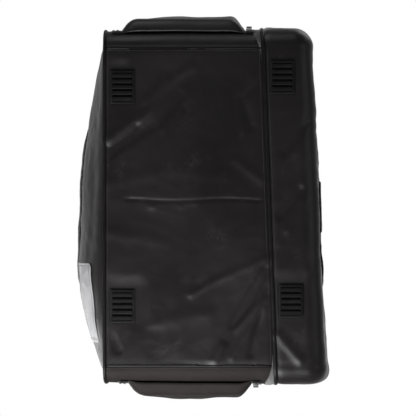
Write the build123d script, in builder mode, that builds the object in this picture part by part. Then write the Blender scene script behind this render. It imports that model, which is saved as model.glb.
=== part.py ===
"""Hockey equipment carry bag, standing on its four ribbed feet. Millimetres, +Z up.

A band of coated fabric (base, two ends and top) runs between two piped seams. The front
panel bulges out of the front seam, and the deeper back panel wraps under the bag, over it
and round its ends. X runs along the bag, the front faces -Y, and the origin lies on the
floor under the middle of the bag. The back seam leans a little, so the bag is wider at
its left end.
"""

from build123d import *

import os
from math import cos, radians, sin, tan

# Overall shell
bag_length = 830.0  # end wall to end wall
bag_width = 568.0  # front bulge to back wall, half way along
shell_height = 372.0  # base fabric to top fabric
fabric = 3.0  # coated cloth, foam and lining together
front_bulge = 64.0  # front panel beyond the front seam
front_end_bulge = 12.0  # what is left of it at the two ends
front_peak_x = -125.0  # where the front bulges most
front_stations = 7  # cross sections that shape the bulge
front_overrun = 15.0  # the bulge is drawn past the ends, then cut off there
back_depth = 117.0  # back panel beyond the back seam
back_lean = 2.2  # degrees that the back seam turns off the front one
centre_shift = 4.44  # puts the origin under the middle of the whole bag
back_corner = 46.0  # radius under and over the back panel
back_edge_radius = 50.0  # radius at the back panel's two upright edges
base_end_radius = 42.0  # base rolls up into the end walls
top_end_radius = 30.0

# Piping beads that close the two long seams
piping_width = 7.0
piping_proud = 3.0

# Ribbed rubber feet
foot_length = 82.0
foot_width = 60.0
foot_height = 8.0
foot_flange = 2.0
foot_border = 7.0
foot_ribs = 5
foot_rib_pitch = 13.6
foot_rib_width = 8.0
front_foot_x_right = 281.0
front_foot_x_left = -233.0
back_foot_x_right = 304.0
back_foot_x_left = -221.0
foot_seam_gap = 9.0  # foot's near edge to the seam's bead

# Lid opening in the top, with its zip on three sides
lid_half_length = 345.0
lid_front_margin = 21.0  # front seam to the opening
lid_back_margin = 38.0  # back seam, half way along, to the hinge line
lid_corner = 60.0
lid_crown = 45.0
lid_slope = 70.0  # plan width of the lid's sloping border

# Skate pockets at the two ends
pocket_half_width = 170.0
pocket_top_margin = 62.0  # top fabric down to the pocket's opening
pocket_corner = 62.0
pocket_proud = 28.0
pocket_split = 52.0  # height where the flap folds off its skirt
pocket_foot = 14.0  # lowest edge of skirt and zip
liner_depth = 110.0
liner_thickness = 2.0

# Coil zips
zip_width = 24.0  # opening's edge to the free edge of the tape
zip_centre = 15.0  # opening's edge to the middle of the chain
chain_width = 6.0
chain_height = 3.0
tape_thickness = 1.2
slider_length = 22.0
slider_width = 14.0
plate = 2.2
slider_clearance = 0.5
lug_length = 5.0
lug_width = 2.2
lug_height = 5.0
pin_radius = 1.2
pin_clearance = 0.08
pull_length = 34.0
pull_width = 7.0
pull_grip_width = 12.0
pull_thickness = 2.0
pull_eye = 2.6  # outer radius of the eye round the pin
lid_slider_gap = 6.0
pocket_slider_rise = 12.0  # slider's lower end above the fold
tab_length = 9.0
tab_thickness = 2.5

# Webbing handles
handle_span = 380.0
webbing_width = 45.0
webbing = 3.0
handle_drop = 145.0
handle_top_margin = 50.0  # top fabric down to the fold at the anchor patches
handle_gap = 1.8
handle_bend = 60.0
patch_height = 36.0
patch_margin = 8.0  # patch wider than its webbing
grip_length = 124.0
grip_over = 3.5  # padding over the webbing
grip_under = 0.8
grip_lip = 5.0

# Stiffening boards on the base, hinged by a strip of tape
board = 2.6
board_edge_gap = 5.0
board_fold_x = -20.0
board_fold_gap = 2.0
board_corner = 20.0
board_liner_gap = 6.0  # boards' ends to the pocket liners
board_tape_width = 50.0
board_tape = 0.8

# Blank name panel on the front
name_panel_length = 188.0
name_panel_height = 128.0
name_panel_x = -226.0
name_panel_z = 114.0
name_panel_thickness = 1.5
name_panel_corner = 14.0

# Places worked out from the sizes above
half_length = bag_length / 2
half_width = bag_width / 2
base_z = foot_height
top_z = base_z + shell_height
mid_z = (base_z + top_z) / 2
lean = radians(back_lean)
back_wall = half_width - centre_shift
front_crest = -half_width - centre_shift
front_seam = front_crest + front_bulge
back_seam = back_wall - back_depth
seam_half = piping_width / 2
front_edge = front_seam - seam_half
pocket_top = top_z - pocket_top_margin
handle_line = top_z - handle_top_margin
lid_front = front_seam + lid_front_margin
lid_hinge = back_seam - lid_back_margin
fit = 0.5  # running gap round the lid and the flaps
far = 1500.0  # longer than the bag, for cutting blocks
everywhere = (-far, far)
ends = {"left": -1, "right": 1}

os.makedirs("parts", exist_ok=True)


def save(piece, name):
    """Label a finished piece and write its STEP file."""
    piece.label = name
    export_step(piece, f"parts/{name}.step")


def seam_y(x):
    """Where the leaning back seam lies, at a distance x along the bag."""
    return back_seam - x * tan(lean)


def bulge_at(x):
    """How far the front panel stands out of its seam, x along the bag."""
    reach = half_length - front_peak_x if x > front_peak_x else half_length + front_peak_x
    share = 1 - ((x - front_peak_x) / reach) ** 2
    return front_end_bulge + (front_bulge - seam_half - front_end_bulge) * share


def long_form(grow):
    """The bag seen from the front, moved out by grow, and run through from front to back."""
    with BuildPart() as form:
        with BuildSketch(Plane.XZ) as section:
            with Locations((0, mid_z)):
                Rectangle(bag_length + 2 * grow, shell_height + 2 * grow)
            fillet(section.vertices().group_by(Axis.Y)[0], radius=base_end_radius + grow)
            fillet(section.vertices().group_by(Axis.Y)[-1], radius=top_end_radius + grow)
        extrude(amount=far, both=True)
    return form.part


def cross_form(grow):
    """The bag seen from its end, moved out by grow, and run along the leaning back wall."""
    with BuildPart() as form:
        with BuildSketch(Plane.YZ) as section:
            with Locations((back_wall + grow - far / 2, mid_z)):
                Rectangle(far, shell_height + 2 * grow)
            fillet(section.vertices().group_by(Axis.X)[-1], radius=back_corner + grow)
        extrude(amount=far, both=True, dir=(cos(lean), -sin(lean), 0))
    return form.part


def core_solid(grow):
    """The bag's outer form behind the front seam, moved out by grow; it runs on in front."""
    end = half_length + grow
    back_drop = tan(lean) * end
    with BuildPart() as core:
        with BuildSketch(Plane.XY) as plan:
            with BuildLine():
                Polyline(
                    (-end, front_crest),
                    (end, front_crest),
                    (end, back_wall + grow - back_drop),
                    (-end, back_wall + grow + back_drop),
                    close=True,
                )
            make_face()
            fillet(plan.vertices().sort_by(Axis.Y)[-2:], radius=back_edge_radius + grow)
        extrude(amount=far, both=True)
        add(cross_form(grow), mode=Mode.INTERSECT)
        add(long_form(grow), mode=Mode.INTERSECT)
    return core.part


def bulge_solid(grow):
    """The swell of the front panel in front of its seam, moved out by grow."""
    low = base_z - grow
    high = top_z + grow
    with BuildPart() as bulge:
        for step in range(front_stations):
            x = (half_length + front_overrun) * (2 * step / (front_stations - 1) - 1)
            with BuildSketch(Plane.YZ.offset(x)):
                with BuildLine():
                    crest = (front_edge - bulge_at(x) - grow, mid_z)
                    ThreePointArc((front_edge, high), crest, (front_edge, low))
                    Line((front_edge, low), (front_edge, high))
                make_face()
        loft()
        add(long_form(grow), mode=Mode.INTERSECT)
    return bulge.part


def block(x_range, y_range, z_range, mode=Mode.INTERSECT):
    """A cutting block between two limits on each axis."""
    limits = (x_range, y_range, z_range)
    with Locations(tuple((low + high) / 2 for low, high in limits)):
        Box(*(high - low for low, high in limits), mode=mode)


def behind_seam(shift):
    """Everything behind the leaning back seam, moved back by shift."""
    turned = Plane(origin=(0, back_seam + shift, 0), x_dir=(cos(lean), -sin(lean), 0))
    with BuildPart(turned) as beyond:
        Box(2 * far, far, 2 * far, align=(Align.CENTER, Align.MIN, Align.CENTER))
    return beyond.part


def between_seams(solid, gap):
    """The part of a solid that lies between the two seams, clear of each by gap."""
    with BuildPart() as middle:
        add(solid)
        block(everywhere, (front_seam + gap, far), everywhere)
        add(behind_seam(-gap), mode=Mode.SUBTRACT)
    return middle.part


def lid_outline(inset):
    """Plan of the lid opening, drawn in on its front and its two ends by inset."""
    front = lid_front + inset
    with BuildSketch(mode=Mode.PRIVATE) as outline:
        with Locations((0, (front + lid_hinge) / 2)):
            Rectangle(2 * (lid_half_length - inset), lid_hinge - front)
        fillet(outline.vertices().group_by(Axis.Y)[0], radius=max(lid_corner - inset, 8.0))
    return outline.sketch


def pocket_outline(inset, low, middle):
    """Face of a skate pocket, centred on middle, from height low up, drawn in by inset."""
    high = pocket_top - inset
    with BuildSketch(mode=Mode.PRIVATE) as outline:
        with Locations((middle, (low + high) / 2)):
            Rectangle(2 * (pocket_half_width - inset), high - low)
        fillet(outline.vertices().group_by(Axis.Y)[-1], radius=max(pocket_corner - inset, 8.0))
    return outline.sketch


outer = core_solid(0)
inner = core_solid(-fabric)
bulge_outer = bulge_solid(0)

# Shell panels -------------------------------------------------------------------------

with BuildPart() as shell:
    add(outer)
    add(inner, mode=Mode.SUBTRACT)

with BuildPart() as front_panel:
    add(bulge_outer)
    add(bulge_solid(-fabric), mode=Mode.SUBTRACT)
save(front_panel.part, "front_panel")

with BuildPart() as back_panel:
    add(shell.part)
    add(behind_seam(seam_half), mode=Mode.INTERSECT)
save(back_panel.part, "back_panel")

band = between_seams(shell.part, seam_half)

base_half_length = half_length - base_end_radius
with BuildPart() as base_panel:
    add(band)
    block((-base_half_length, base_half_length), everywhere, (0, base_z + fabric))
save(base_panel.part, "base_panel")

top_half_length = half_length - top_end_radius
with BuildPart() as top_panel:
    add(band)
    block((-top_half_length, top_half_length), everywhere, (top_z - fabric, far))
    with BuildSketch(Plane.XY.offset(top_z - 2 * fabric)):
        add(lid_outline(0))
    extrude(amount=far, mode=Mode.SUBTRACT)
save(top_panel.part, "top_panel")

end_middle = {
    end: (front_seam + seam_y(side * half_length)) / 2 for end, side in ends.items()
}
for end, side in ends.items():
    with BuildPart() as end_panel:
        add(band)
        block((0, far) if side > 0 else (-far, 0), everywhere, everywhere)
        block((-base_half_length, base_half_length), everywhere, (0, mid_z), Mode.SUBTRACT)
        block((-top_half_length, top_half_length), everywhere, (mid_z, far), Mode.SUBTRACT)
        with BuildSketch(Plane.YZ.offset(side * half_length)):
            add(pocket_outline(0, pocket_split, end_middle[end]))
        extrude(amount=2 * fabric, both=True, mode=Mode.SUBTRACT)
    save(end_panel.part, f"end_panel_{end}")

# Piping ---------------------------------------------------------------------------------

with BuildPart() as bead:
    add(core_solid(piping_proud))
    add(inner, mode=Mode.SUBTRACT)

with BuildPart() as piping_front:
    add(bead.part)
    block(everywhere, (front_seam - seam_half, front_seam + seam_half), everywhere)
save(piping_front.part, "piping_front")

with BuildPart() as piping_back:
    add(bead.part)
    add(behind_seam(-seam_half), mode=Mode.INTERSECT)
    add(behind_seam(seam_half), mode=Mode.SUBTRACT)
save(piping_back.part, "piping_back")

# Feet -----------------------------------------------------------------------------------

seam_to_foot = seam_half + foot_seam_gap + foot_width / 2
rib_plane = Plane.XY.offset(foot_height - foot_flange)

for place, x, y in (
    ("front_left", front_foot_x_left, front_seam + seam_to_foot),
    ("front_right", front_foot_x_right, front_seam + seam_to_foot),
    ("back_left", back_foot_x_left, seam_y(back_foot_x_left) + seam_to_foot),
    ("back_right", back_foot_x_right, seam_y(back_foot_x_right) + seam_to_foot),
):
    with BuildPart() as foot:
        with BuildSketch(Plane.XY.offset(foot_height)):
            with Locations((x, y)):
                RectangleRounded(foot_length, foot_width, 4)
        extrude(amount=-foot_flange)
        with BuildSketch(rib_plane) as rim:
            with Locations((x, y)):
                RectangleRounded(foot_length - foot_border, foot_width - foot_border, 3)
                Rectangle(
                    foot_ribs * foot_rib_pitch - 2,
                    foot_width - 2 * foot_border,
                    mode=Mode.SUBTRACT,
                )
        extrude(amount=-(foot_height - foot_flange) * 0.6)
        with BuildSketch(rib_plane) as ribs:
            with Locations((x, y)):
                with GridLocations(foot_rib_pitch, 1, foot_ribs, 1):
                    Rectangle(foot_rib_width, foot_width - 2 * foot_border)
        extrude(amount=-(foot_height - foot_flange))
        tread = foot.edges().filter_by(Axis.Y).group_by(Axis.Z)[0]
        fillet(tread, radius=1.5)
    save(foot.part, f"foot_{place}")

# Boards ---------------------------------------------------------------------------------

board_z = base_z + fabric
board_end = half_length - liner_depth - board_liner_gap
board_front = front_seam + seam_half + board_edge_gap
board_back = seam_y(board_end) - seam_half - board_edge_gap
for name, low, high in (
    ("left", -board_end, board_fold_x - board_fold_gap / 2),
    ("right", board_fold_x + board_fold_gap / 2, board_end),
):
    with BuildPart() as base_board:
        with BuildSketch(Plane.XY.offset(board_z)) as outline:
            with Locations(((low + high) / 2, (board_front + board_back) / 2)):
                Rectangle(high - low, board_back - board_front)
            end_corners = outline.vertices().group_by(Axis.X)[0 if name == "left" else -1]
            fillet(end_corners, radius=board_corner)
        extrude(amount=board)
    save(base_board.part, f"base_board_{name}")

with BuildPart() as board_hinge_tape:
    with BuildSketch(Plane.XY.offset(board_z + board)):
        with Locations((board_fold_x, (board_front + board_back) / 2)):
            Rectangle(board_tape_width, board_back - board_front)
    extrude(amount=board_tape)
save(board_hinge_tape.part, "board_hinge_tape")

# Lid and its zip ------------------------------------------------------------------------


def lid_crown_solid(sink, shrink):
    """The lid's raised middle: a sloping border and a flat crown, sunk and shrunk together."""
    with BuildPart() as crown:
        for level, draw_in in ((0, 0), (lid_crown, lid_slope)):
            inset = lid_edge + shrink + draw_in
            front = lid_front + inset
            back = lid_hinge - fit - shrink - draw_in
            with BuildSketch(Plane.XY.offset(top_z + level - sink)):
                with Locations((0, (front + back) / 2)):
                    width = 2 * (lid_half_length - inset)
                    RectangleRounded(width, back - front, lid_corner - lid_edge)
        loft()
    return crown.part


lid_edge = zip_width + fit
with BuildPart() as lid_panel:
    with BuildSketch(Plane.XY.offset(top_z - fabric)):
        add(lid_outline(lid_edge))
    extrude(amount=fabric)
    block(everywhere, (-far, lid_hinge - fit), everywhere)
    add(lid_crown_solid(0, 0))
    add(lid_crown_solid(fabric, fabric), mode=Mode.SUBTRACT)
save(lid_panel.part, "lid_panel")

with BuildPart() as lid_zip_tape:
    with BuildSketch(Plane.XY.offset(top_z - tape_thickness)):
        add(lid_outline(0))
        add(lid_outline(zip_width), mode=Mode.SUBTRACT)
    extrude(amount=tape_thickness)
save(lid_zip_tape.part, "lid_zip_tape")

chain_in = zip_centre - chain_width / 2
chain_out = zip_centre + chain_width / 2
with BuildPart() as lid_zip_chain:
    with BuildSketch(Plane.XY.offset(top_z)):
        add(lid_outline(chain_in))
        add(lid_outline(chain_out), mode=Mode.SUBTRACT)
    extrude(amount=chain_height)
save(lid_zip_chain.part, "lid_zip_chain")

# Skate pockets --------------------------------------------------------------------------

pocket_edge = zip_width + fit
wall_form = long_form(0)
pocket_outer = long_form(pocket_proud)
pocket_inner = long_form(pocket_proud - fabric)
chain_form = long_form(chain_height)
tape_form = long_form(-tape_thickness)
tab_form = long_form(tab_thickness)
leg = pocket_half_width - zip_centre  # from a pocket's middle to its zip
tab_width = 2 * (pocket_edge - zip_centre)  # from the skirt to as far beyond the zip

for end, side in ends.items():
    wall = Plane.YZ.offset(0) if side > 0 else Plane.YZ.offset(-far)
    middle = end_middle[end]

    with BuildPart() as pocket_hollow:
        with BuildSketch(wall):
            add(pocket_outline(pocket_edge + fabric, pocket_foot + fabric, middle))
        extrude(amount=far)
        add(pocket_inner, mode=Mode.INTERSECT)

    with BuildPart() as pocket_cover:
        with BuildSketch(wall):
            add(pocket_outline(pocket_edge, pocket_foot, middle))
        extrude(amount=far)
        add(pocket_outer, mode=Mode.INTERSECT)
        add(pocket_hollow.part, mode=Mode.SUBTRACT)
        add(wall_form, mode=Mode.SUBTRACT)

    with BuildPart() as pocket_skirt:
        add(pocket_cover.part)
        block(everywhere, everywhere, (0, pocket_split))
    save(pocket_skirt.part, f"pocket_skirt_{end}")

    with BuildPart() as pocket_flap:
        add(pocket_cover.part)
        block(everywhere, everywhere, (pocket_split + fit, far))
    save(pocket_flap.part, f"pocket_flap_{end}")

    with BuildPart() as pocket_zip_tape:
        with BuildSketch(wall):
            add(pocket_outline(0, pocket_split, middle))
            add(pocket_outline(zip_width, pocket_split, middle), mode=Mode.SUBTRACT)
        extrude(amount=far)
        add(wall_form, mode=Mode.INTERSECT)
        add(tape_form, mode=Mode.SUBTRACT)
    save(pocket_zip_tape.part, f"pocket_zip_tape_{end}")

    chain_foot = pocket_foot + tab_length
    with BuildPart() as pocket_zip_chain:
        with BuildSketch(wall):
            add(pocket_outline(chain_in, chain_foot, middle))
            add(pocket_outline(chain_out, chain_foot, middle), mode=Mode.SUBTRACT)
        extrude(amount=far)
        add(chain_form, mode=Mode.INTERSECT)
        add(wall_form, mode=Mode.SUBTRACT)
    save(pocket_zip_chain.part, f"pocket_zip_chain_{end}")

    with BuildPart() as zip_end_tabs:
        with BuildSketch(wall):
            with Locations((middle, pocket_foot + tab_length / 2)):
                with GridLocations(2 * leg, 1, 2, 1):
                    Rectangle(tab_width, tab_length)
        extrude(amount=far)
        add(tab_form, mode=Mode.INTERSECT)
        add(wall_form, mode=Mode.SUBTRACT)
    save(zip_end_tabs.part, f"zip_end_tabs_{end}")

    liner_near = half_length - liner_depth
    hollow_near = liner_near + liner_thickness
    with BuildPart() as pocket_liner:
        add(between_seams(inner, seam_half))
        block(
            (liner_near, far) if side > 0 else (-far, -liner_near),
            everywhere,
            (board_z, pocket_top + liner_thickness),
        )
        block(
            (hollow_near, far) if side > 0 else (-far, -hollow_near),
            everywhere,
            (0, pocket_top),
            Mode.SUBTRACT,
        )
    save(pocket_liner.part, f"pocket_liner_{end}")

# Sliders and pulls ------------------------------------------------------------------------


def slider(place):
    """A zip slider on a chain that runs along place's X, with place's Z out of the cloth.

    The upper plate straddles the chain and carries the pull's pin between two lugs. The
    lower plate rides under the tape.
    """
    cheek = (slider_width - chain_width) / 2 - slider_clearance
    cheek_x = (slider_width - cheek) / 2
    roof = chain_height + slider_clearance
    lug_z = roof + plate
    pin_z = lug_z + lug_height - pin_radius
    lug_y = (pull_width + lug_width) / 2 + slider_clearance
    on_top = (Align.CENTER, Align.CENTER, Align.MIN)
    below = (Align.CENTER, Align.CENTER, Align.MAX)
    with BuildPart() as made:
        with Locations(place):
            with Locations((0, 0, roof)):
                Box(slider_length, slider_width, plate, align=on_top)
            with Locations((0, cheek_x, slider_clearance), (0, -cheek_x, slider_clearance)):
                Box(slider_length, cheek, roof - slider_clearance, align=on_top)
            with Locations((0, lug_y, lug_z), (0, -lug_y, lug_z)):
                Box(lug_length, lug_width, lug_height, align=on_top)
            with Locations(Location((0, 0, pin_z), (90, 0, 0))):
                Cylinder(pin_radius, 2 * lug_y)
            with Locations((0, 0, -tape_thickness - slider_clearance)):
                Box(slider_length, slider_width, plate, align=below)
    return made.part


def pull(place):
    """A pull tab on its eye, lying along place's +X."""
    pin_z = chain_height + slider_clearance + plate + lug_height - pin_radius
    with BuildPart() as made:
        with Locations(place):
            with Locations(Location((0, 0, pin_z), (90, 0, 0))):
                Cylinder(pull_eye, pull_width)
            with Locations((pull_length / 2, 0, pin_z)):
                Box(pull_length, pull_width, pull_thickness)
            with Locations((pull_length * 0.75, 0, pin_z)):
                Box(pull_length / 2, pull_grip_width, pull_thickness)
            with Locations(Location((0, 0, pin_z), (90, 0, 0))):
                Cylinder(pin_radius + pin_clearance, pull_width, mode=Mode.SUBTRACT)
            with Locations((pull_length * 0.8, 0, pin_z)):
                Box(pull_length / 5, pull_width - 1, pull_thickness, mode=Mode.SUBTRACT)
    return made.part


chain_y = lid_front + zip_centre
slider_x = (slider_length + lid_slider_gap) / 2
for end, side in ends.items():
    lid_place = Location((side * slider_x, chain_y, top_z), (0, 0, 0 if side > 0 else 180))
    save(slider(lid_place), f"lid_slider_{end}")
    save(pull(lid_place), f"lid_pull_{end}")

    slider_z = pocket_split + pocket_slider_rise + slider_length / 2
    hanging = Plane(
        origin=(side * half_length, end_middle[end] + leg, slider_z),
        x_dir=(0, 0, -1),
        z_dir=(side, 0, 0),
    ).location
    save(slider(hanging), f"pocket_slider_{end}")
    save(pull(hanging), f"pocket_pull_{end}")

# Handles ----------------------------------------------------------------------------------


def handle_outline(inset):
    """The hanging U of a handle, drawn in by inset on its sides and its bottom."""
    drop = handle_drop - inset
    with BuildSketch(mode=Mode.PRIVATE) as outline:
        with Locations((0, handle_line - drop / 2)):
            Rectangle(handle_span - 2 * inset, drop)
        fillet(outline.vertices().group_by(Axis.Y)[0], radius=handle_bend - inset / 2)
    return outline.sketch


handle_low = handle_line - handle_drop
for name, side, surface in (("front", -1, bulge_solid), ("back", 1, cross_form)):
    facing = Plane.XZ.offset(half_width / 2) if side < 0 else Plane.XZ.offset(-far)
    reach = far if side < 0 else far - half_width / 2
    with BuildPart() as handle:
        with BuildSketch(facing):
            add(handle_outline(0))
            add(handle_outline(webbing_width), mode=Mode.SUBTRACT)
        extrude(amount=reach)
        add(surface(handle_gap + webbing), mode=Mode.INTERSECT)
        add(surface(handle_gap), mode=Mode.SUBTRACT)
    save(handle.part, f"handle_{name}")

    with BuildPart() as handle_patches:
        with BuildSketch(facing):
            with Locations((0, handle_line + fit + patch_height / 2)):
                with GridLocations(handle_span - webbing_width, 1, 2, 1):
                    Rectangle(webbing_width + patch_margin, patch_height)
        extrude(amount=reach)
        add(surface(webbing), mode=Mode.INTERSECT)
        add(surface(0), mode=Mode.SUBTRACT)
    save(handle_patches.part, f"handle_patches_{name}")

with BuildPart() as handle_grip:
    with BuildSketch(facing):
        with Locations((0, handle_low + webbing_width / 2)):
            Rectangle(grip_length, webbing_width + 2 * grip_lip)
    extrude(amount=reach)
    add(cross_form(handle_gap + webbing + grip_over), mode=Mode.INTERSECT)
    add(cross_form(handle_gap - grip_under), mode=Mode.SUBTRACT)
    add(handle.part, mode=Mode.SUBTRACT)
save(handle_grip.part, "handle_grip")

# Name panel -------------------------------------------------------------------------------

with BuildPart() as name_panel:
    with BuildSketch(Plane.XZ.offset(half_width / 2)):
        with Locations((name_panel_x, name_panel_z)):
            RectangleRounded(name_panel_length, name_panel_height, name_panel_corner)
    extrude(amount=far)
    add(bulge_solid(name_panel_thickness), mode=Mode.INTERSECT)
    add(bulge_outer, mode=Mode.SUBTRACT)
save(name_panel.part, "name_panel")
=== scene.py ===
"""Hockey bag of coated fabric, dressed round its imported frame.

Every soft panel is laid on one bag form, slumped by one field of folds, and sewn, zipped and
strapped. Feet, boards, sliders and pulls are the frame's own nodes with finishes.
"""

import logging
import math
from dataclasses import dataclass, field
from enum import Enum
from typing import Callable, Iterable, Sequence

import bmesh
import bpy
from mathutils import Matrix, Vector, noise


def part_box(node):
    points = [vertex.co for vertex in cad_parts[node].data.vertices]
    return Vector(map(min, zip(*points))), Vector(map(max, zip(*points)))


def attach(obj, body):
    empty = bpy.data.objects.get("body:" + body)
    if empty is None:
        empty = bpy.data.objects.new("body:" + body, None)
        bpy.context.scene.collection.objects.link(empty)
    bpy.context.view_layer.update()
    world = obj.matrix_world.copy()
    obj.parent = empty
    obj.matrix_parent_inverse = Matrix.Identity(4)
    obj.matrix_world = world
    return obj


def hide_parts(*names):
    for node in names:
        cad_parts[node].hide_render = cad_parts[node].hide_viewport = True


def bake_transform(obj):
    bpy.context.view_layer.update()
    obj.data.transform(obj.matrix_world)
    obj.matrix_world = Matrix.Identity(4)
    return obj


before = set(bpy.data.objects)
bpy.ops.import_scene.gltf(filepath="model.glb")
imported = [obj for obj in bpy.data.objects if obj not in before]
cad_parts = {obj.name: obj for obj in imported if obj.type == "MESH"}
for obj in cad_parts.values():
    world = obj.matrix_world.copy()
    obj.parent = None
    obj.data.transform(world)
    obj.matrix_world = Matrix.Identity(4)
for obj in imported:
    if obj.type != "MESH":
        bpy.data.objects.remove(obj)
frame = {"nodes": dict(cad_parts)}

LOG = logging.getLogger("hockey_bag")
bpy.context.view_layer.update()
MM = 0.001
ENDS = {"left": -1, "right": 1}
ROWS = ("front", "back")
LEAN = math.tan(math.radians(2.2))  # of the back seam and wall along the bag
STITCH_PITCH = 4.2 * MM
STITCH = Vector((1.5 * MM, 0.42 * MM, 0.4 * MM))  # half sizes
HEAVY_STITCH = Vector((1.6 * MM, 0.5 * MM, 0.45 * MM))
HOLD_FEET = 40 * MM  # how far round a fixed piece the fabric stays unslumped
HOLD_SLIDERS = 34 * MM
HOLD_LID_HINGE = 45 * MM
HOLD_POCKET_FOLD = 60 * MM
HOLD_PATCHES = 40 * MM

Spot = tuple[float, float]
Step = tuple[float, float, float, float]
Place = Callable[[float, float], Vector]


def smooth(value: float) -> float:
    """Smooth step of a value held between 0 and 1."""
    held = min(1.0, max(0.0, value))
    return held * held * (3 - 2 * held)


def to_line(x: float, y: float, path: Sequence[Spot]) -> float:
    """Distance from a spot to a broken line.

    Args:
        x: First coordinate of the spot.
        y: Second coordinate of the spot.
        path: Corners of the line.

    Returns:
        The shortest distance, in metres.
    """
    best = math.inf
    for (ax, ay), (bx, by) in zip(path, path[1:]):
        dx, dy = bx - ax, by - ay
        share = ((x - ax) * dx + (y - ay) * dy) / (dx * dx + dy * dy)
        share = min(1.0, max(0.0, share))
        best = min(best, math.hypot(x - ax - share * dx, y - ay - share * dy))
    return best


class Face(Enum):
    """A side of the bag that pieces are laid on."""

    BASE = "base"
    TOP = "top"
    FRONT = "front"
    BACK = "back"
    LEFT = "left"
    RIGHT = "right"


END_FACES = {"left": Face.LEFT, "right": Face.RIGHT}


@dataclass(frozen=True)
class Fold:
    """A ridge or valley in the base fabric."""

    path: tuple[Spot, ...]
    height: float
    width: float

    def at(self, x: float, y: float) -> float:
        """How far the fold pushes the fabric outwards at a spot."""
        gap = to_line(x, y, self.path) / self.width
        return self.height * math.exp(-gap * gap) if gap < 3 else 0.0


FOLDS = (
    Fold(((0.157, -0.218), (0.228, -0.117), (0.298, -0.082)), 4.9 * MM, 11 * MM),
    Fold(((0.130, -0.212), (0.196, -0.100), (0.262, -0.050)), -3.5 * MM, 10.2 * MM),
    Fold(((0.345, -0.190), (0.345, -0.180)), 4.1 * MM, 13.6 * MM),
    Fold(((0.002, -0.114), (0.002, -0.110)), 3.0 * MM, 7.6 * MM),
    Fold(((0.002, -0.044), (0.002, -0.040)), 2.4 * MM, 7.6 * MM),
    Fold(((-0.148, 0.155), (-0.230, 0.108), (-0.314, 0.061)), -6.8 * MM, 11 * MM),
    Fold(((-0.218, 0.155), (-0.293, 0.073), (-0.359, 0.035)), 5.4 * MM, 10.2 * MM),
    Fold(((-0.277, -0.218), (-0.336, -0.192)), -4.9 * MM, 6.8 * MM),
    Fold(((0.060, 0.150), (0.110, 0.085)), 2.7 * MM, 11.9 * MM),
    Fold(((0.300, 0.150), (0.255, 0.100), (0.190, 0.120)), -3.0 * MM, 10.2 * MM),
    Fold(((0.040, 0.235), (-0.019, 0.190)), -6.1 * MM, 9.3 * MM),
    Fold(((0.010, 0.245), (-0.055, 0.205)), 4.3 * MM, 8.5 * MM),
    Fold(((-0.300, 0.183), (-0.359, 0.235)), 5.4 * MM, 10.2 * MM),
    Fold(((-0.150, 0.260), (-0.235, 0.225)), 3.2 * MM, 10.2 * MM),
    Fold(((0.200, 0.250), (0.130, 0.200)), -3.5 * MM, 10.2 * MM),
    Fold(((-0.120, 0.158), (-0.172, 0.040), (-0.205, -0.020)), 2.4 * MM, 9 * MM),
    Fold(((-0.190, 0.158), (-0.345, 0.120)), -3.4 * MM, 9 * MM),
    Fold(((-0.240, 0.150), (-0.352, 0.075)), 2.6 * MM, 8 * MM),
    Fold(((0.120, -0.215), (0.190, -0.150)), -3.0 * MM, 9 * MM),
    Fold(((0.240, -0.140), (0.330, -0.020)), 2.4 * MM, 11 * MM),
    Fold(((0.055, -0.215), (0.085, -0.060), (0.075, 0.060)), 2.0 * MM, 16 * MM),
    Fold(((-0.060, -0.215), (-0.085, -0.080)), 1.8 * MM, 14 * MM),
    Fold(((-0.270, -0.100), (-0.250, 0.020)), 1.8 * MM, 16 * MM),
)


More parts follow.
